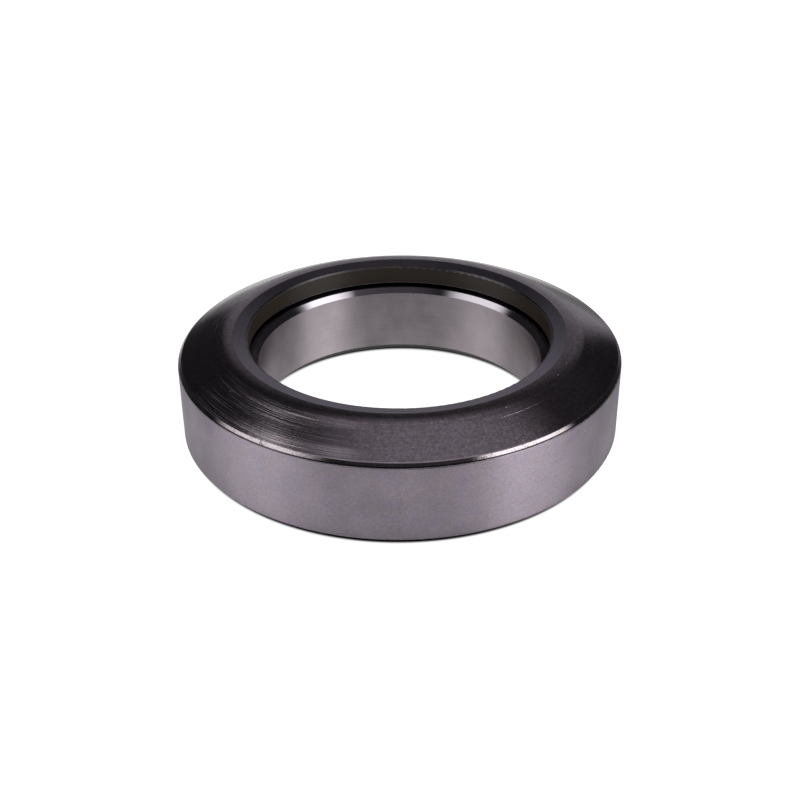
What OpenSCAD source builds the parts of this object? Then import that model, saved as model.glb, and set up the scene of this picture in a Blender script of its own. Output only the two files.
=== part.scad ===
// Clutch release bearing: a sealed angular-contact ball bearing with a crowned thrust face.
// The inner ring sits on the carrier sleeve and stands still. The outer ring spins with the clutch
// levers that press on its crowned face. The axis is Z, and Z = 0 is the inner ring's back face.

/* [Overall] */
// Outside diameter of the outer ring
outer_d = 109; // [106:0.5:116]
// Bore of the inner ring, which fits the carrier sleeve
bore_d = 70; // [64:0.5:72]
// Height from the inner ring's back face to the top of the thrust face
total_h = 25.8; // [24.6:0.1:29]

/* [Thrust face] */
// How far the hole in the thrust face lies outside the bore, on the radius
hole_step = 2.3; // [1.6:0.1:3.4]
// Radial width of the land around that hole
land_w = 3.6; // [2:0.1:6]
// Fall of the land from its outer ridge to the hole
land_fall = 0.62; // [0.1:0.02:1.2]
// Fall from the ridge of the land to the top of the outer ring's straight side
crown_fall = 5.5; // [4:0.1:6.6]
// Radius of the crowned face's profile
crown_r = 75; // [45:1:120]
// Radius of the shoulder that leads from the ridge into the crowned face
shoulder_r = 12; // [8:0.5:16]
// Edge break between the crowned face and the straight side
rim_break = 0.84; // [0.4:0.02:1.4]
// Rounding at both ends of the straight side
side_round = 0.8; // [0.4:0.1:1.2]
// Rounding of the edge between the land and the hole
hole_round = 0.6; // [0.3:0.05:0.9]
// Edge break around the hole, under the flange
hole_break = 0.25; // [0.1:0.05:0.5]

/* [Rings] */
// Width of the inner ring
inner_h = 19.65; // [19:0.05:20.6]
// Gap between the inner ring's front face and the thrust face's flange
flange_gap = 0.8; // [0.6:0.1:1.4]
// Height of the outer ring's back face above the inner ring's
back_step = 0.3; // [0.2:0.1:1]
// Chamfer of the bore at the front
bore_front_chamfer = 1.25; // [0.6:0.05:1.6]
// Chamfer of the bore at the back
bore_back_chamfer = 2.7; // [1:0.1:3.2]
// Chamfer around the outer ring's back edge
back_chamfer = 1.5; // [0.5:0.1:1.8]
// Edge break on the other corners of the rings
corner_break = 0.4; // [0.2:0.05:0.7]

/* [Balls and races] */
// Diameter of a ball as a share of the section from the bore to the outside
ball_share = 0.57; // [0.5:0.005:0.59]
// Number of balls
ball_count = 18; // [12:1:19]
// Contact angle, measured from the plane of the balls, in degrees
contact_angle = 40; // [30:1:50]
// Radius of the race grooves as a share of the ball's diameter
race_share = 0.525; // [0.515:0.005:0.54]
// Gap between a ball and each race along the contact line
race_clearance = 0.06; // [0.03:0.01:0.1]
// Depth of the opened shoulders below the bottom of the race grooves
race_relief = 0.15; // [0.05:0.05:0.4]

/* [Cage] */
// Radial thickness of the cage
cage_t = 2.4; // [1.6:0.1:3]
// Gap between the cage and the shoulders of the rings
cage_clearance = 0.3; // [0.2:0.05:0.5]
// Gap between the cage and the seals above and below it
cage_end_clearance = 0.4; // [0.3:0.1:1]
// Gap between a ball and its pocket
pocket_clearance = 0.15; // [0.1:0.05:0.3]

/* [Seals] */
// Height of a seal's bead
seal_h = 1.6; // [1.2:0.1:2]
// Thickness of a seal's web
seal_web_t = 0.9; // [0.6:0.1:1.1]
// Radial width of a seal's bead
seal_bead_w = 1.8; // [1.2:0.1:2.4]
// Radial width of a seal's sloping lip
seal_lip_w = 1.8; // [1.2:0.1:2.4]
// Depth of the grooves that hold the seals
seal_bite = 0.7; // [0.4:0.1:1]
// Gap between a seal and its groove
seal_clearance = 0.05; // [0.02:0.01:0.1]
// Gap between a seal's lip and the inner ring
lip_clearance = 0.25; // [0.15:0.05:0.4]
// Height of the outer ring's rib under the rear seal
rear_rib_h = 0.9; // [0.6:0.1:1.2]

/* [Hidden] */
$fn = 128;
overcut = 5;
steel_color = [0.50, 0.47, 0.50];
bore_color = [0.43, 0.40, 0.42];
ball_color = [0.78, 0.78, 0.80];
cage_color = [0.16, 0.15, 0.14];
rubber_color = [0.06, 0.06, 0.06];

outer_r = outer_d / 2;
bore_r = bore_d / 2;
ball_d = ball_share * (outer_r - bore_r);
ball_r = ball_d / 2;
pitch_r = (outer_r + bore_r) / 2;
race_r = race_share * ball_d;

// Heights along the axis
side_top_z = total_h - crown_fall;
flange_z = inner_h + flange_gap;
groove_h = seal_h + 2 * seal_clearance;
rear_groove_z = back_step + rear_rib_h;
front_groove_z = flange_z - groove_h;
ball_z = (rear_groove_z + groove_h + front_groove_z) / 2;
cage_half_h = front_groove_z - ball_z - cage_end_clearance;

// Race grooves: each is centred off the balls along the contact line, so that it touches on that line
race_offset = race_r - ball_r - race_clearance;
contact_r = race_offset * cos(contact_angle);
contact_z = race_offset * sin(contact_angle);
outer_race_r = pitch_r - contact_r;
outer_race_z = ball_z - contact_z;
inner_race_r = pitch_r + contact_r;
inner_race_z = ball_z + contact_z;

// Shoulders: one on each ring carries the balls, and the other is opened for assembly
cage_inner_r = pitch_r - cage_t / 2;
cage_outer_r = pitch_r + cage_t / 2;
outer_shoulder_r = cage_outer_r + cage_clearance;
outer_open_r = outer_race_r + race_r + race_relief;
inner_shoulder_r = cage_inner_r - cage_clearance;
inner_open_r = inner_race_r - race_r - race_relief;

// Thrust face and straight side
hole_r = bore_r + hole_step;
ridge = [hole_r + land_w, total_h];
rim = [outer_r - rim_break, side_top_z + rim_break];
hole_top = [hole_r, total_h - land_fall];
hole_low = [hole_r, flange_z + hole_break];
side_top = [outer_r, side_top_z];
side_low = [outer_r, back_step + back_chamfer];
back_edge = [outer_r - back_chamfer, back_step];
shoulder_centre = ridge - [0, shoulder_r];
crown_centre = arc_centre(shoulder_centre, shoulder_r, rim, crown_r);
// Where the shoulder's arc meets the crown's
shoulder_end = crown_centre + crown_r * (shoulder_centre - crown_centre) / norm(shoulder_centre - crown_centre);

// Centre of the arc of radius r that ends at point q and runs on smoothly from an arc round s of radius r_s
function arc_centre(s, r_s, q, r) =
    let (way = (q - s) / norm(q - s), d = norm(q - s), a = (d * d + (r - r_s) * (r - r_s) - r * r) / (2 * d))
    s + a * way + sqrt((r - r_s) * (r - r_s) - a * a) * [way[1], -way[0]];

// Name of ball number i
function ball_name(i) = str("ball_", i < 10 ? "0" : "", i);

// What the shoulder's arc cuts away between the ridge and the crown's arc
module shoulder_waste_profile() {
    difference() {
        polygon([ridge, shoulder_end, shoulder_end + [0, overcut], ridge + [0, overcut]]);
        translate(shoulder_centre)
            circle(r = shoulder_r);
    }
}

// What a rounding of radius r cuts away from the corner at p, whose edges run to points a and b
module corner_waste_profile(p, a, b, r) {
    to_a = (a - p) / norm(a - p);
    to_b = (b - p) / norm(b - p);
    out = -(to_a + to_b) / norm(to_a + to_b);
    half = acos(to_a * to_b) / 2;
    reach = r / tan(half);
    difference() {
        polygon([p + reach * to_a, p + reach * to_b, p + reach * to_b + overcut * out, p + reach * to_a + overcut * out]);
        translate(p - r / sin(half) * out)
            circle(r = r);
    }
}

// The outer ring's section before its race and its seal grooves are cut. The circle trims the crown.
module outer_blank_profile() {
    intersection() {
        translate(crown_centre)
            circle(r = crown_r);
        polygon([
            hole_low,
            hole_top,
            ridge,
            [ridge[0], total_h + overcut],
            [rim[0], total_h + overcut],
            rim,
            side_top,
            side_low,
            back_edge,
            [outer_open_r + corner_break, back_step],
            [outer_open_r, back_step + corner_break],
            [outer_open_r, outer_race_z],
            [outer_shoulder_r, outer_race_z],
            [outer_shoulder_r, flange_z],
            [hole_r + hole_break, flange_z]
        ]);
    }
}

// A groove for a seal, cut outward from the radius of its wall
module seal_groove_profile(wall_r, z) {
    translate([wall_r - overcut, z])
        square([overcut + seal_bite, groove_h]);
}

// A race groove's round section
module race_profile(r, z) {
    translate([r, z])
        circle(r = race_r);
}

// A seal's section, with its flat outside up and its lip sloping in towards the inner ring
module seal_profile(groove_r, lip_r) {
    bead_r = groove_r - seal_clearance;
    polygon([
        [bead_r, 0],
        [lip_r + seal_lip_w, 0],
        [lip_r, seal_web_t - seal_h],
        [lip_r, -seal_h],
        [lip_r + seal_lip_w / 3, -seal_h],
        [lip_r + seal_lip_w, -seal_web_t],
        [bead_r - seal_bead_w, -seal_web_t],
        [bead_r - seal_bead_w, -seal_h],
        [bead_r, -seal_h]
    ]);
}

module outer_ring() {
    color(steel_color)
        rotate_extrude()
            difference() {
                outer_blank_profile();
                shoulder_waste_profile();
                corner_waste_profile(hole_top, hole_low, ridge, hole_round);
                corner_waste_profile(side_top, rim, side_low, side_round);
                corner_waste_profile(side_low, side_top, back_edge, side_round);
                race_profile(outer_race_r, outer_race_z);
                seal_groove_profile(outer_shoulder_r, front_groove_z);
                seal_groove_profile(outer_open_r, rear_groove_z);
            }
}

module inner_ring() {
    color(bore_color)
        rotate_extrude()
            difference() {
                polygon([
                    [bore_r, bore_back_chamfer],
                    [bore_r + bore_back_chamfer, 0],
                    [inner_shoulder_r - corner_break, 0],
                    [inner_shoulder_r, corner_break],
                    [inner_shoulder_r, inner_race_z],
                    [inner_open_r, inner_race_z],
                    [inner_open_r, inner_h - corner_break],
                    [inner_open_r - corner_break, inner_h],
                    [bore_r + bore_front_chamfer, inner_h],
                    [bore_r, inner_h - bore_front_chamfer]
                ]);
                race_profile(inner_race_r, inner_race_z);
            }
}

// Puts its child at the place of ball number i
module at_ball(i) {
    rotate((i - 1) * 360 / ball_count)
        translate([pitch_r, 0, ball_z])
            children();
}

module cage() {
    color(cage_color)
        difference() {
            rotate_extrude()
                translate([cage_inner_r, ball_z - cage_half_h])
                    square([cage_t, 2 * cage_half_h]);
            for (i = [1 : ball_count])
                at_ball(i)
                    sphere(r = ball_r + pocket_clearance);
        }
}

module front_seal() {
    color(rubber_color)
        rotate_extrude()
            translate([0, flange_z - seal_clearance])
                seal_profile(outer_shoulder_r + seal_bite, inner_open_r + lip_clearance);
}

module rear_seal() {
    color(rubber_color)
        rotate_extrude()
            translate([0, rear_groove_z + seal_clearance])
                mirror([0, 1])
                    seal_profile(outer_open_r + seal_bite, inner_shoulder_r + lip_clearance);
}

module ball(i) {
    color(ball_color)
        at_ball(i)
            sphere(r = ball_r);
}

outer_ring();
inner_ring();
cage();
front_seal();
rear_seal();
for (i = [1 : ball_count])
    ball(i);
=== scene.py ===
import math
from functools import cached_property
from types import SimpleNamespace

import bpy
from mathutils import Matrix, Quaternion, Vector

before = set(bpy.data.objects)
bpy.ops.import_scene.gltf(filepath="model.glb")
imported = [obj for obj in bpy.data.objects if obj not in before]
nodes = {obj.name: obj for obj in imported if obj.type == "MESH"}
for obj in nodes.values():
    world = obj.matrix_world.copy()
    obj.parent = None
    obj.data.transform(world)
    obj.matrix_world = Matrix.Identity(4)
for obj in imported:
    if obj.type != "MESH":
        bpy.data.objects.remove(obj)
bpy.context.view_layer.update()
scene = bpy.context.scene

# All lengths are in metres
MM = 0.001
CLOSE = 0.05 * MM
UP = Vector((0.0, 0.0, 1.0))
WHITE = (1.0, 1.0, 1.0)
BLACK = (0.0, 0.0, 0.0)


def turned_points(name):
    """Radius and height of every vertex of a turned node."""
    return [(v.co.xy.length, v.co.z) for v in nodes[name].data.vertices]


# The outer ring's edges, read from its solid
outer = turned_points("outer_ring")
OUTER_R = max(r for r, z in outer)
TOP_Z = max(z for r, z in outer)
HOLE_R = min(r for r, z in outer)
RIDGE_R = min(r for r, z in outer if z > TOP_Z - CLOSE)
SIDE_TOP_Z = max(z for r, z in outer if r > OUTER_R - CLOSE)
SIDE_LOW_Z = min(z for r, z in outer if r > OUTER_R - CLOSE)
# A little less than the rim's rise above the side
RIM_RISE = 0.8 * MM
RIM_R = max(r for r, z in outer if z > SIDE_TOP_Z + RIM_RISE)
HOLE_TOP_Z = max(z for r, z in outer if r < HOLE_R + CLOSE)
HOLE_LOW_Z = min(z for r, z in outer if r < HOLE_R + CLOSE)
# The rounded edge between the hole and the land
HOLE_EDGE = 0.5 * MM
LAND_INNER_R = HOLE_R + HOLE_EDGE

# The inner ring's edges
inner = turned_points("inner_ring")
BORE_R = min(r for r, z in inner)
BORE_TOP_Z = max(z for r, z in inner if r < BORE_R + CLOSE)
BORE_LOW_Z = min(z for r, z in inner if r < BORE_R + CLOSE)

# The camera, at the photograph's angle
IMAGE_SIDE = 800
FOCAL_PX = 1283.1
SENSOR_MM = 36.0
ELEVATION = math.radians(30.45)
ROLL = math.radians(-0.45)
DISTANCE = 0.3261
AIM = Vector((0.0, 0.0, 0.0052))
NEAREST_SEEN = 0.01
FARTHEST_SEEN = 20.0

# The stage
STAGE_R = 5.0
DOME_STEPS = 24
DOME_RINGS = 8
DOME_LOW = math.radians(-5)
DOME_TOP = math.radians(90)

# Softboxes
PANEL_DISTANCE = 3.0
# Each panel's name, its turn about the axis from the front, rise and lean in degrees, width and height,
# the share of its half width over which it fades, and its radiance
PANELS = [
    ("left", -83, 44, 45, 2.45, 2.20, 0.45, 2.3),
    ("right", 73, 46, 8, 1.98, 2.25, 0.25, 3.8),
]

# The floor that the camera sees: its colour, roughness, shine and glow, and the margins from the outer
# radius and from the bore over which a shadow is painted into its glow under the rings
FLOOR_GREY = (0.5, 0.5, 0.5)
FLOOR_ROUGH = 0.8
FLOOR_SHINE = 0.2
FLOOR_GLOW = 0.94
FLOOR_OUTSIDE = (-1.7 * MM, -0.8 * MM)
FLOOR_INSIDE = (1.5 * MM, 3 * MM)

# The table that metal mirrors: its margins as for the floor, for the shadow painted under the rings; pools
# of light, each with its middle, the distances at which it begins to fade and has faded, and its strength;
# the strength beyond them; and a painted shaded place with its middle, its inner and outer edge and the
# share of light that it keeps
TABLE_OUTSIDE = (-1 * MM, 4 * MM)
TABLE_INSIDE = (-1 * MM, 3.5 * MM)
TABLE_POOLS = [
    ((-0.02, -0.03, 0.0), 0.115, 0.15, 1.0),
    ((-0.04, 0.12, 0.0), 0.09, 0.14, 0.90),
]
TABLE_FAR = 0.22
TABLE_SHADE = ((0.085, 0.075, 0.0), 0.030, 0.055, 0.2)

# The screen behind the object: its ends as sideways travel over depth, their softness, the least depth to
# divide by, the depths and heights between which it fades, its strength at the foot and its fall with height
SCREEN_LEFT = -0.31
SCREEN_RIGHT = 0.49
SCREEN_SOFT = 0.09
SCREEN_LEAST_DEPTH = 0.05
SCREEN_DEPTH = (0.1, 0.3)
SCREEN_TOP = (0.48, 0.70)
SCREEN_FOOT = 0.52
SCREEN_FALL = -0.72
# Soft lights in the world: turn from the back, rise, reach and softness in degrees, strength, and the
# sideways travel below which a flag hides the light and above which it is whole
GLOWS = [
    (0, 88, 27, 15, 0.47, -0.44, 0.0),
    (31, 52, 18, 12, 0.030, -1.0, -0.9),
    (8, 18, 6, 4, 0.10, -1.0, -0.9),
    (-8, 18, 6, 4, 0.06, -1.0, -0.9),
]
# No screen or soft light is on the camera's side: they fade out between these depths
STUDIO_FRONT = (-0.50, -0.15)
STUDIO_DIM = 0.03
STUDIO_TINT = (1.0, 0.95, 1.05)

# The range in which most of a noise lies
NOISE_LOW = 0.3
NOISE_HIGH = 0.7
# A stretch of this many radians makes a line run all round
ALL_ROUND = 40.0


class Graph:
    """Short calls that add nodes to a tree."""

    def __init__(self, tree):
        self.tree = tree

    def feed(self, socket, value):
        """Links a socket to another, or sets it to a number or a colour."""
        if isinstance(value, bpy.types.NodeSocket):
            self.tree.links.new(value, socket)
        elif socket.type == "RGBA":
            socket.default_value = (*value, 1.0)
        else:
            socket.default_value = value

    def add(self, kind, inputs, **settings):
        node = self.tree.nodes.new("ShaderNode" + kind)
        for name, value in settings.items():
            setattr(node, name, value)
        for key, value in inputs.items():
            self.feed(node.inputs[key], value)
        return node

    def math(self, operation, *values, clamp=False):
        inputs = dict(enumerate(values))
        return self.add("Math", inputs, operation=operation, use_clamp=clamp).outputs[0]

    def fold(self, operation, values):
        """Joins all the values by one operation, from first to last."""
        result = values[0]
        for value in values[1:]:
            result = self.math(operation, result, value)
        return result

    def product(self, *factors):
        return self.fold("MULTIPLY", factors)

    def total(self, *terms):
        return self.fold("ADD", terms)

    def largest(self, *values):
        return self.fold("MAXIMUM", values)

    def opposite(self, value):
        return self.math("MULTIPLY", value, -1.0)

    def ramp(self, value, low, high, start=0.0, end=1.0):
        """Goes smoothly from start to end as the value goes from low to high."""
        inputs = {0: value, 1: low, 2: high, 3: start, 4: end}
        return self.add("MapRange", inputs, interpolation_type="SMOOTHSTEP").outputs[0]

    def swing(self, noise, start, end):
        """Goes from start to end over the range in which most of a noise lies."""
        return self.ramp(noise, NOISE_LOW, NOISE_HIGH, start, end)

    def between(self, value, low, high, soft):
        """One where the value lies between low and high."""
        rise = self.ramp(value, low - soft, low + soft)
        fall = self.ramp(value, high - soft, high + soft, 1.0, 0.0)
        return self.product(rise, fall)

    def mix(self, factor, first, second):
        inputs = {0: factor, 6: first, 7: second}
        return self.add("Mix", inputs, data_type="RGBA").outputs[2]

    def layered(self, colour, layers):
        """A colour under layers, each with the share of it that covers what lies below."""
        for share, layer in layers:
            colour = self.mix(share, colour, layer)
        return colour

    def blend(self, factor, first, second):
        return self.add("Mix", {0: factor, 2: first, 3: second}, data_type="FLOAT").outputs[0]

    def tint(self, colour, factor):
        """The colour, made lighter or darker by a factor."""
        return self.add("VectorMath", {0: colour, 3: factor}, operation="SCALE").outputs[0]

    def vector(self, x, y, z):
        return self.add("CombineXYZ", {0: x, 1: y, 2: z}).outputs[0]

    def vector_math(self, operation, *vectors):
        """The vector that an operation on vectors gives."""
        return self.add("VectorMath", dict(enumerate(vectors)), operation=operation).outputs[0]

    def measure(self, operation, *vectors):
        """The number that an operation on vectors gives, such as a length."""
        return self.add("VectorMath", dict(enumerate(vectors)), operation=operation).outputs[1]

    def noise(self, vector, size, detail=2.0, roughness=0.5):
        inputs = {"Vector": vector, "Scale": 1.0 / size, "Detail": detail, "Roughness": roughness}
        return self.add("TexNoise", inputs).outputs[0]

    def cells(self, vector, size):
        """Voronoi cells: the distance from the middle of a cell, in cells, and its random number."""
        node = self.add("TexVoronoi", {"Vector": vector, "Scale": 1.0 / size})
        number = self.add("SeparateColor", {0: node.outputs["Color"]}).outputs[0]
        return node.outputs["Distance"], number

    def bump(self, height, depth, normal=None):
        inputs = {"Height": height, "Distance": depth}
        if normal is not None:
            inputs["Normal"] = normal
        return self.add("Bump", inputs).outputs[0]


class Paint(Graph):
    """A material with one Principled shader."""

    def __init__(self, name, **sockets):
        self.material = bpy.data.materials.new(name)
        self.material.use_nodes = True
        super().__init__(self.material.node_tree)
        self.shader = self.tree.nodes["Principled BSDF"]
        self.set(**sockets)

    @cached_property
    def place(self):
        """The place on the piece, in its own frame."""
        return self.add("TexCoord", {}).outputs["Object"]

    def set(self, **sockets):
        """Sets the shader's sockets, with spaces written as underscores, to values or links."""
        for name, value in sockets.items():
            self.feed(self.shader.inputs[name.replace("_", " ").title().replace("Ior", "IOR")], value)


class TurnedPaint(Paint):
    """A material for a piece that was turned, ground or moulded about the Z axis."""

    def __init__(self, name, **sockets):
        super().__init__(name, **sockets)
        x, y, z = self.add("SeparateXYZ", {0: self.place}).outputs
        self.height = z
        self.radius = self.math("SQRT", self.total(self.product(x, x), self.product(y, y)))
        self.round_x = self.math("DIVIDE", x, self.radius)
        self.round_y = self.math("DIVIDE", y, self.radius)
        # A length along the profile that grows on every flank, so that lines cross all of them
        self.along = self.math("MULTIPLY_ADD", self.height, -2.0, self.radius)
        self.set(tangent=self.add("Tangent", {}, direction_type="RADIAL", axis="Z").outputs[0])

    def turned_normal(self):
        """The mesh's normal without its small lean round the axis, which a turned face never has."""
        around = self.vector(self.opposite(self.round_y), self.round_x, 0.0)
        around = self.add("VectorTransform", {0: around}, vector_type="VECTOR", convert_from="OBJECT",
                          convert_to="WORLD").outputs[0]
        normal = self.add("NewGeometry", {}).outputs["Normal"]
        lean = self.measure("DOT_PRODUCT", normal, around)
        straight = self.vector_math("SUBTRACT", normal, self.tint(around, lean))
        return self.vector_math("NORMALIZE", straight)

    def facing(self, side):
        """One where the place lies on the given side of the axis, falling to minus one opposite."""
        return self.total(self.product(self.round_x, side.x), self.product(self.round_y, side.y))

    def lines(self, spacing, turn, detail=3.0):
        """Tool marks around the axis: their spacing, and how far one runs round, in radians."""
        stretched = self.vector(self.math("DIVIDE", self.round_x, turn),
                                self.math("DIVIDE", self.round_y, turn),
                                self.math("DIVIDE", self.along, spacing))
        return self.noise(stretched, 1.0, detail, 0.6)

    def grooves(self, spacing, width):
        """Thin cuts that run all round, where a stretched noise passes through its middle."""
        noise = self.lines(spacing, ALL_ROUND, 1.0)
        off = self.math("ABSOLUTE", self.math("SUBTRACT", noise, 0.5))
        return self.ramp(off, 0.0, width, 1.0, 0.0)

    def specks(self, size, share, reach):
        """Small spots: one in some of the cells, as wide as reach, in cells."""
        distance, number = self.cells(self.place, size)
        near = self.ramp(distance, reach * 0.5, reach, 1.0, 0.0)
        return self.product(near, self.math("LESS_THAN", number, share))

    def scratches(self, length, width, lean, share):
        """Short fine scratches that lean against the tool marks, one in some of the long narrow cells."""
        around = self.math("ARCTAN2", self.round_x, self.opposite(self.round_y))
        u = self.math("MULTIPLY", around, OUTER_R)
        cos_lean = math.cos(lean)
        sin_lean = math.sin(lean)
        run = self.total(self.product(u, cos_lean), self.product(self.along, sin_lean))
        side = self.total(self.product(u, -sin_lean), self.product(self.along, cos_lean))
        flat = self.vector(self.math("DIVIDE", run, length), self.math("DIVIDE", side, width), 0.0)
        distance, number = self.cells(flat, 1.0)
        near = self.ramp(distance, 0.02, 0.07, 1.0, 0.0)
        return self.product(near, self.math("LESS_THAN", number, share))


# Colours
SIDE_STEEL = (0.492, 0.421, 0.478)
SIDE_LILAC = (0.468, 0.416, 0.498)
CROWN_STEEL = (0.222, 0.194, 0.210)
LAND_STEEL = (0.170, 0.154, 0.184)
RIM_STEEL = (0.300, 0.265, 0.278)
WORN_STEEL = (0.420, 0.385, 0.405)
HOLE_SCALE = (0.0270, 0.0183, 0.0112)
# Black painted as shade on the rings' backs and at the foot of the rim
PAINTED_SHADE_BLACK = (0.016, 0.015, 0.014)
CHAMFER_STEEL = (0.325, 0.300, 0.328)
BORE_STEEL = (0.475, 0.423, 0.452)
STAIN = (0.072, 0.060, 0.048)
PIT = (0.06, 0.05, 0.05)
DUST = (0.75, 0.72, 0.74)
BALL_STEEL = (0.62, 0.61, 0.64)
POLYAMIDE = (0.030, 0.027, 0.024)
GLASS_FIBRE = (0.14, 0.13, 0.11)
RUBBER = (0.010, 0.010, 0.010)
RUBBER_BLOOM = (0.035, 0.034, 0.034)

# The side of the outer ring that the clutch's levers wore and where painted highlights lie, and the side
# with hairlines
WORN_AND_LIT_SIDE = Vector((-0.375, -0.927))
HAIR_SIDE = Vector((-0.574, -0.819))

# How much lighter each mark makes the crowned face: painted highlight on the rim edge, the grooves and the
# bands; the track is a mark
RIM_HIGHLIGHT_TONE = 0.6
GROOVE_GLINT_TONE = 0.6
BAND_HIGHLIGHT_TONE = 2.8
TRACK_TONE = 0.45
# The share of a hairline that takes the worn colour, and that scatters light
HAIR_COLOUR = 0.6
HAIR_DULL = 0.45

# Roughness and relief of the outer ring's faces
SIDE_ROUGH = (0.46, 0.43)
CROWN_ROUGH = (0.10, 0.13)
GROOVE_ROUGH = 0.10
RIM_ROUGH = 0.15
LAND_ROUGH = 0.16
HOLE_ROUGH = 0.50
DUST_ROUGH = 0.8
GROOVE_DEPTH = 0.024 * MM
FINE_DEPTH = 0.003 * MM

# Roughness of the inner ring's faces
CHAMFER_ROUGH = 0.14
BORE_ROUGH = (0.52, 0.48)


def outer_zones(paint):
    """The faces of the outer ring: each is one on its face and nought elsewhere."""
    r = paint.radius
    z = paint.height
    top = paint.ramp(z, SIDE_TOP_Z + CLOSE, SIDE_TOP_Z + 3 * CLOSE)
    return SimpleNamespace(
        crown=paint.product(top, paint.between(r, RIDGE_R, RIM_R, CLOSE)),
        rim=paint.product(paint.ramp(z, SIDE_TOP_Z, SIDE_TOP_Z + 0.3 * MM),
                          paint.ramp(r, RIM_R - CLOSE, RIM_R + CLOSE)),
        # A thin painted highlight along the crown's outer edge
        painted_rim_highlight=paint.product(top, paint.between(r, RIM_R - 0.30 * MM, RIM_R + CLOSE, CLOSE)),
        # A thin band under the rim, painted dark as shade
        rim_foot=paint.product(
            paint.between(z, SIDE_TOP_Z + 0.12 * MM, SIDE_TOP_Z + 0.42 * MM, 1.5 * CLOSE),
            paint.ramp(r, RIM_R, RIM_R + CLOSE)),
        land=paint.product(top, paint.between(r, LAND_INNER_R, RIDGE_R, CLOSE)),
        ridge=paint.product(top, paint.between(r, RIDGE_R - 0.14 * MM, RIDGE_R + 0.10 * MM, CLOSE)),
        hole=paint.product(paint.ramp(z, HOLE_LOW_Z - 0.3 * MM, HOLE_LOW_Z),
                           paint.ramp(r, HOLE_R + CLOSE, HOLE_R + 3 * CLOSE, 1.0, 0.0)),
        hole_edge=paint.product(paint.ramp(z, HOLE_TOP_Z, HOLE_TOP_Z + 2 * CLOSE),
                                paint.between(r, HOLE_R + CLOSE, LAND_INNER_R + CLOSE, CLOSE)),
        # The back and its lower chamfer, which are painted black as shade
        back=paint.ramp(z, SIDE_LOW_Z - 0.65 * MM, SIDE_LOW_Z - 0.50 * MM, 1.0, 0.0),
    )


def crown_marks(paint, crown):
    """What turning and the levers left on the crowned face, and the painted highlights on it."""
    r = paint.radius
    worn_and_lit = paint.facing(WORN_AND_LIT_SIDE)
    rings = paint.lines(1.9 * MM, ALL_ROUND, 2.0)

    # Rings cut all round, each of them worn away along parts of its length
    dense = paint.product(paint.grooves(0.9 * MM, 0.070), paint.ramp(rings, 0.44, 0.56, 0.45, 1.0))
    cuts = paint.largest(paint.grooves(3.0 * MM, 0.022), dense)
    kept = paint.total(paint.lines(0.3 * MM, 0.5, 1.0), paint.ramp(worn_and_lit, 0.78, 0.95, -0.14, 0.0))
    smooth = paint.between(r, RIDGE_R + 7.8 * MM, RIDGE_R + 10.0 * MM, 0.5 * MM)
    grooves = paint.product(cuts, paint.ramp(kept, 0.42, 0.74),
                            paint.ramp(r, RIDGE_R + 2.2 * MM, RIDGE_R + 4.0 * MM),
                            paint.ramp(r, RIM_R - 6.0 * MM, RIM_R - 4.0 * MM, 1.0, 0.40),
                            paint.math("MULTIPLY_ADD", smooth, -0.5, 1.0))

    # Two bands of painted highlight: fine bright rings on the lit side of the crowned face
    outer_band = paint.ramp(r, RIM_R - 3.2 * MM, RIM_R - 2.4 * MM)
    inner_band = paint.between(r, RIDGE_R + 3.4 * MM, RIDGE_R + 5.4 * MM, 0.4 * MM)
    bands = paint.product(paint.total(outer_band, paint.product(inner_band, 0.5)),
                          paint.ramp(paint.lines(0.5 * MM, 8.0, 2.0), 0.36, 0.60, 0.2, 1.0),
                          paint.math("POWER", paint.ramp(worn_and_lit, 0.955, 1.0), 3.0))

    # Dull hairlines around the axis, which scatter light that the polished face mirrors away
    hairs = paint.product(paint.grooves(0.55 * MM, 0.060),
                          paint.ramp(paint.lines(0.25 * MM, 0.4, 2.0), 0.44, 0.66),
                          paint.ramp(paint.facing(HAIR_SIDE), 0.86, 0.95),
                          paint.ramp(r, RIDGE_R + 2.6 * MM, RIDGE_R + 4.0 * MM), crown)

    track = paint.product(paint.between(r, RIDGE_R + 3.5 * MM, RIDGE_R + 3.8 * MM, 0.12 * MM),
                          paint.ramp(paint.lines(3 * MM, 0.05, 3.0), 0.45, 0.60))
    return SimpleNamespace(rings=rings, grooves=grooves, bands=bands, hairs=hairs, track=track)


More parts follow.
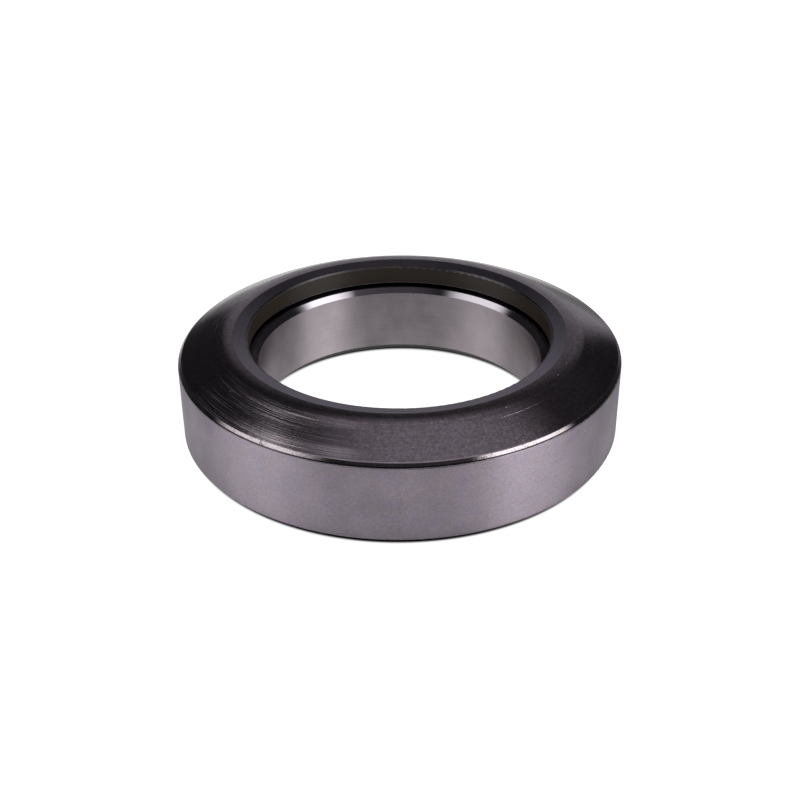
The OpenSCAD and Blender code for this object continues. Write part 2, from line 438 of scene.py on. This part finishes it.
def outer_steel():
    """Ground side, turned crown, lapped land and blackened hole, on one ring."""
    paint = TurnedPaint("outer_steel", anisotropic=1.0, anisotropic_rotation=0.25)
    zones = outer_zones(paint)
    marks = crown_marks(paint, zones.crown)

    fine = paint.lines(0.22 * MM, 0.10, 2.0)
    clouds = paint.noise(paint.place, 9 * MM, 4.0, 0.6)
    mottle = paint.ramp(paint.noise(paint.place, 2.4 * MM, 3.0, 0.6), 0.38, 0.62)
    blotches = paint.noise(paint.place, 1.0 * MM, 3.0, 0.6)
    grain = paint.noise(paint.place, 0.42 * MM, 2.0)
    nicks = paint.ramp(paint.noise(paint.place, 1.1 * MM, 2.0), 0.60, 0.70)
    pits = paint.specks(7.0 * MM, 0.16, 0.035)
    dust = paint.product(paint.specks(2.6 * MM, 0.10, 0.055),
                         paint.total(0.25, paint.product(zones.crown, 0.75)))
    scratches = paint.largest(paint.scratches(26 * MM, 1.7 * MM, 0.5, 0.05),
                              paint.scratches(34 * MM, 2.2 * MM, -0.22, 0.04))
    # The hole edge and the ridge made lighter, as wear and as painted edge highlight
    worn_and_highlit_edges = paint.largest(zones.hole_edge, paint.product(zones.ridge, 0.6))

    # How light each face is, about one
    tone = paint.total(paint.swing(clouds, 0.965, 1.035), paint.swing(grain, -0.09, 0.09),
                       paint.swing(fine, -0.04, 0.04))
    # Painted shade: the side grows darker towards the bottom
    side_tone_and_painted_shade = paint.product(tone, paint.ramp(paint.height, SIDE_LOW_Z, SIDE_TOP_Z, 0.88, 1.04))
    # The crowned face's tone carries painted highlights on the rim edge, the grooves and the bands
    crown_tone_and_highlights = paint.total(paint.swing(marks.rings, 0.92, 1.05),
                             paint.product(zones.painted_rim_highlight, RIM_HIGHLIGHT_TONE),
                             paint.product(marks.grooves, GROOVE_GLINT_TONE),
                             paint.product(marks.bands, BAND_HIGHLIGHT_TONE),
                             paint.product(marks.track, TRACK_TONE),
                             paint.swing(grain, -0.18, 0.18),
                             paint.swing(blotches, -0.16, 0.16),
                             paint.swing(fine, -0.08, 0.08))
    rim_tone = paint.total(paint.ramp(grain, 0.30, 0.55, 0.75, 1.08), paint.product(nicks, -0.5))
    worn_and_highlit_tone = paint.ramp(paint.lines(0.4 * MM, 0.07, 4.0), 0.46, 0.62, 0.30, 0.42)

    side_colour = paint.tint(paint.mix(mottle, SIDE_STEEL, SIDE_LILAC), side_tone_and_painted_shade)
    colour = paint.layered(side_colour, [
        # Painted shade: the back and its lower chamfer black
        (zones.back, paint.tint(PAINTED_SHADE_BLACK, tone)),
        (zones.crown, paint.tint(CROWN_STEEL, crown_tone_and_highlights)),
        (zones.rim, paint.tint(RIM_STEEL, rim_tone)),
        # Painted shade: a dark line at the foot of the rim
        (paint.product(zones.rim_foot, 0.75), PAINTED_SHADE_BLACK),
        (zones.land, paint.tint(LAND_STEEL, tone)),
        (zones.hole, paint.tint(HOLE_SCALE, tone)),
        # Wear and painted highlight on the hole edge and the ridge
        (worn_and_highlit_edges, paint.tint(WORN_STEEL, worn_and_highlit_tone)),
        (paint.product(scratches, 0.5), WORN_STEEL),
        (paint.product(pits, 0.8), PIT),
        (paint.product(marks.hairs, HAIR_COLOUR), WORN_STEEL),
        (dust, DUST),
    ])

    rough = paint.blend(zones.crown, paint.swing(clouds, *SIDE_ROUGH), paint.swing(grain, *CROWN_ROUGH))
    rough = paint.total(rough, paint.product(zones.crown, marks.grooves, GROOVE_ROUGH))
    rough = paint.blend(zones.rim, rough, RIM_ROUGH)
    rough = paint.blend(zones.land, rough, LAND_ROUGH)
    rough = paint.blend(zones.hole, rough, HOLE_ROUGH)
    rough = paint.blend(dust, rough, DUST_ROUGH)

    dull = paint.largest(dust, zones.hole, paint.product(marks.hairs, HAIR_DULL))
    relief = paint.total(paint.product(zones.crown, marks.grooves), paint.product(zones.rim, grain, 0.25))
    normal = paint.bump(relief, GROOVE_DEPTH, paint.turned_normal())
    normal = paint.bump(paint.total(fine, paint.product(scratches, -0.6)), FINE_DEPTH, normal)
    paint.set(base_color=colour, roughness=rough, normal=normal, metallic=paint.math("SUBTRACT", 1.0, dull))
    return paint.material


def inner_steel():
    """Honed bore with bright turned chamfers and a back painted black as shade."""
    paint = TurnedPaint("inner_steel", metallic=1.0, anisotropic=1.0, anisotropic_rotation=0.25)
    bore = paint.product(paint.ramp(paint.radius, BORE_R + CLOSE, BORE_R + 2 * CLOSE, 1.0, 0.0),
                         paint.between(paint.height, BORE_LOW_Z, BORE_TOP_Z, CLOSE))
    # The back and its chamfer, painted black as shade
    back = paint.ramp(paint.height, BORE_LOW_Z - 2 * CLOSE, BORE_LOW_Z, 1.0, 0.0)

    fine = paint.lines(0.30 * MM, 0.14, 3.0)
    bands = paint.lines(1.4 * MM, 0.9, 3.0)
    clouds = paint.noise(paint.place, 7 * MM, 4.0, 0.6)
    grain = paint.noise(paint.place, 0.45 * MM, 2.0)
    pits = paint.specks(5.0 * MM, 0.14, 0.05)
    stain = paint.specks(9.0 * MM, 0.2, 0.11)

    tone = paint.total(paint.swing(clouds, 0.95, 1.05), paint.swing(bands, -0.03, 0.03),
                       paint.swing(grain, -0.02, 0.02))
    colour = paint.layered(paint.tint(CHAMFER_STEEL, tone), [
        (bore, paint.tint(BORE_STEEL, tone)),
        (back, paint.tint(PAINTED_SHADE_BLACK, tone)),
        (paint.product(stain, bore, 0.25), STAIN),
        (paint.product(pits, 0.6), PIT),
    ])

    rough = paint.blend(bore, CHAMFER_ROUGH, paint.swing(clouds, *BORE_ROUGH))
    relief = paint.product(bore, paint.total(fine, bands))
    normal = paint.bump(relief, FINE_DEPTH, paint.turned_normal())
    paint.set(base_color=colour, roughness=rough, normal=normal)
    return paint.material


def ball_steel():
    """Polished bearing balls with faint running marks."""
    paint = Paint("ball_steel", metallic=1.0)
    haze = paint.noise(paint.place, 3.0 * MM, 3.0)
    marks = paint.noise(paint.place, 0.25 * MM, 2.0)
    paint.set(base_color=paint.tint(BALL_STEEL, paint.swing(haze, 0.92, 1.05)),
              roughness=paint.swing(haze, 0.08, 0.15),
              normal=paint.bump(marks, 0.001 * MM))
    return paint.material


def cage_polyamide():
    """Moulded polyamide with short glass fibres in it."""
    paint = TurnedPaint("cage_polyamide", ior=1.53)
    fibres = paint.lines(0.12 * MM, 0.03, 2.0)
    clouds = paint.noise(paint.place, 6 * MM, 3.0)
    grain = paint.noise(paint.place, 0.18 * MM, 2.0)
    fleck = paint.ramp(fibres, 0.60, 0.72)
    colour = paint.tint(POLYAMIDE, paint.swing(clouds, 0.8, 1.25))
    paint.set(base_color=paint.mix(paint.product(fleck, 0.35), colour, GLASS_FIBRE),
              roughness=paint.swing(clouds, 0.42, 0.56),
              normal=paint.bump(paint.total(grain, paint.product(fleck, 0.5)), 0.02 * MM))
    return paint.material


def seal_rubber():
    """Moulded black nitrile rubber."""
    paint = TurnedPaint("seal_rubber", ior=1.50)
    flow = paint.lines(0.9 * MM, 0.6, 2.0)
    clouds = paint.noise(paint.place, 5 * MM, 3.0)
    grain = paint.noise(paint.place, 0.14 * MM, 2.0)
    bloom = paint.product(paint.ramp(clouds, 0.45, 0.75), paint.ramp(grain, 0.4, 0.7))
    paint.set(base_color=paint.mix(paint.product(bloom, 0.4), RUBBER, RUBBER_BLOOM),
              roughness=paint.swing(flow, 0.55, 0.70),
              normal=paint.bump(paint.total(grain, paint.product(flow, 0.8)), 0.015 * MM))
    return paint.material


def dress_nodes():
    """Gives each node of the frame the finish of its kind."""
    finishes = {
        "outer_ring": outer_steel(),
        "inner_ring": inner_steel(),
        "cage": cage_polyamide(),
    }
    rubber = seal_rubber()
    steel = ball_steel()
    for name, node in nodes.items():
        finish = finishes.get(name) or (rubber if name.endswith("seal") else steel)
        node.data.materials.clear()
        node.data.materials.append(finish)


def add_camera():
    data = bpy.data.cameras.new("camera")
    data.sensor_width = SENSOR_MM
    data.lens = FOCAL_PX / IMAGE_SIDE * SENSOR_MM
    data.clip_start = NEAREST_SEEN
    data.clip_end = FARTHEST_SEEN
    camera = bpy.data.objects.new("camera", data)
    scene.collection.objects.link(camera)
    away = Vector((0.0, -math.cos(ELEVATION), math.sin(ELEVATION)))
    camera.location = AIM + DISTANCE * away
    level = (-away).to_track_quat("-Z", "Y")
    camera.rotation_euler = (level @ Quaternion(UP, ROLL)).to_euler()
    scene.camera = camera


def add_stage_piece(name, mesh, material):
    piece = bpy.data.objects.new(name, mesh)
    mesh.materials.append(material)
    scene.collection.objects.link(piece)
    return piece


def stage_square(name):
    corners = [(x * STAGE_R, y * STAGE_R, 0) for x, y in ((-1, -1), (1, -1), (1, 1), (-1, 1))]
    mesh = bpy.data.meshes.new(name)
    mesh.from_pydata(corners, [], [(0, 1, 2, 3)])
    return mesh


def clear_of_painted_ring_shadow(paint, outer_margins, bore_margins):
    """One on the ground outside and inside the rings, and nought under them, where a shadow is painted."""
    radius = paint.measure("LENGTH", paint.place)
    outside = paint.ramp(radius, *(OUTER_R + margin for margin in outer_margins))
    inside = paint.ramp(radius, *(BORE_R + margin for margin in bore_margins), 1.0, 0.0)
    return paint.total(outside, inside)


def add_floor():
    """A pale floor that polished metal doesn't mirror, with a shadow painted where the rings stand."""
    paint = Paint("floor", base_color=FLOOR_GREY, roughness=FLOOR_ROUGH, specular_ior_level=FLOOR_SHINE,
                  emission_color=WHITE)
    clear = clear_of_painted_ring_shadow(paint, FLOOR_OUTSIDE, FLOOR_INSIDE)
    # Painted shadow: the glow falls to nought under the rings
    paint.set(emission_strength=paint.product(clear, FLOOR_GLOW))
    floor = add_stage_piece("floor", stage_square("floor"), paint.material)
    floor.visible_glossy = False


def add_table():
    """The table that polished metal mirrors in the floor's place, with its light and shade painted into its
    glow.
    """
    paint = Paint("table", base_color=BLACK, specular_ior_level=0.0, emission_color=WHITE)
    lit = TABLE_FAR
    for middle, full, edge, strength in TABLE_POOLS:
        distance = paint.measure("DISTANCE", paint.place, middle)
        lit = paint.largest(lit, paint.ramp(distance, full, edge, strength, TABLE_FAR))
    middle, full, edge, strength = TABLE_SHADE
    distance = paint.measure("DISTANCE", paint.place, middle)
    lit = paint.product(lit, paint.ramp(distance, full, edge, strength, 1.0))
    clear = clear_of_painted_ring_shadow(paint, TABLE_OUTSIDE, TABLE_INSIDE)
    # Painted light and shadow: pools of light, a shaded place and shadow under the rings
    paint.set(emission_strength=paint.product(clear, lit))
    table = add_stage_piece("table", stage_square("table"), paint.material)
    table.visible_camera = False
    table.visible_diffuse = False
    table.visible_shadow = False


def add_backdrop():
    """A white dome, seen by the camera alone."""
    points = []
    faces = []
    for i in range(DOME_RINGS + 1):
        rise = DOME_LOW + (DOME_TOP - DOME_LOW) * i / DOME_RINGS
        for k in range(DOME_STEPS):
            turn = 2 * math.pi * k / DOME_STEPS
            out = STAGE_R * math.cos(rise)
            points.append((out * math.cos(turn), out * math.sin(turn), STAGE_R * math.sin(rise)))
    for i in range(DOME_RINGS):
        low = i * DOME_STEPS
        high = low + DOME_STEPS
        for k in range(DOME_STEPS):
            n = (k + 1) % DOME_STEPS
            faces.append((low + k, low + n, high + n, high + k))
    mesh = bpy.data.meshes.new("backdrop")
    mesh.from_pydata(points, [], faces)
    paint = Paint("backdrop", base_color=BLACK, specular_ior_level=0.0, emission_color=WHITE,
                  emission_strength=1.0)
    dome = add_stage_piece("backdrop", mesh, paint.material)
    dome.visible_diffuse = False
    dome.visible_glossy = False
    dome.visible_transmission = False
    dome.visible_shadow = False


def add_panel(name, turn, rise, lean, width, height, fade, radiance):
    """A softbox: where it is seen from the object, how far it leans over, its size, edge and radiance."""
    data = bpy.data.lights.new(name, "AREA")
    data.shape = "RECTANGLE"
    data.size = width
    data.size_y = height
    data.energy = radiance * math.pi * width * height
    data.use_nodes = True
    graph = Graph(data.node_tree)
    spot = graph.add("NewGeometry", {}).outputs["Parametric"]
    across, along, _ = graph.add("SeparateXYZ", {0: spot}).outputs
    strength = 1.0
    for share in (across, along):
        edge = graph.math("MINIMUM", share, graph.math("SUBTRACT", 1.0, share))
        strength = graph.product(strength, graph.ramp(edge, 0.0, fade / 2))
    graph.feed(data.node_tree.nodes["Emission"].inputs["Strength"], strength)
    panel = bpy.data.objects.new(name, data)
    out = Vector((math.sin(turn), -math.cos(turn), 0.0))
    panel.location = PANEL_DISTANCE * (math.cos(rise) * out + math.sin(rise) * UP)
    facing = -math.cos(lean) * out - math.sin(lean) * UP
    panel.rotation_euler = facing.to_track_quat("-Z", "Y").to_euler()
    scene.collection.objects.link(panel)


def add_world():
    """A dark studio with a pale screen behind the object and soft lights over and behind it."""
    world = bpy.data.worlds.new("world")
    world.use_nodes = True
    graph = Graph(world.node_tree)
    way = graph.add("TexCoord", {}).outputs["Generated"]
    x, y, z = graph.add("SeparateXYZ", {0: way}).outputs
    side = graph.math("DIVIDE", x, graph.largest(y, SCREEN_LEAST_DEPTH))
    light = graph.product(graph.between(side, SCREEN_LEFT, SCREEN_RIGHT, SCREEN_SOFT),
                          graph.ramp(y, *SCREEN_DEPTH),
                          graph.ramp(z, *SCREEN_TOP, 1.0, 0.0),
                          graph.math("MULTIPLY_ADD", z, SCREEN_FALL, SCREEN_FOOT, clamp=True))
    for turn, rise, reach, soft, strength, flag_start, flag_end in GLOWS:
        turn = math.radians(turn)
        rise = math.radians(rise)
        middle = (math.sin(turn) * math.cos(rise), math.cos(turn) * math.cos(rise), math.sin(rise))
        near = graph.measure("DOT_PRODUCT", way, middle)
        edge = math.cos(math.radians(reach + soft))
        full = math.cos(math.radians(reach - soft))
        flag = graph.ramp(x, flag_start, flag_end)
        light = graph.total(light, graph.product(graph.ramp(near, edge, full, 0.0, strength), flag))
    light = graph.product(light, graph.ramp(y, *STUDIO_FRONT))
    background = world.node_tree.nodes["Background"]
    graph.feed(background.inputs["Color"], STUDIO_TINT)
    graph.feed(background.inputs["Strength"], graph.total(light, STUDIO_DIM))
    scene.world = world


dress_nodes()
add_camera()
add_floor()
add_table()
add_backdrop()
add_world()
for name, turn, rise, lean, *rest in PANELS:
    add_panel(name, math.radians(turn), math.radians(rise), math.radians(lean), *rest)
scene.view_settings.view_transform = "Standard"
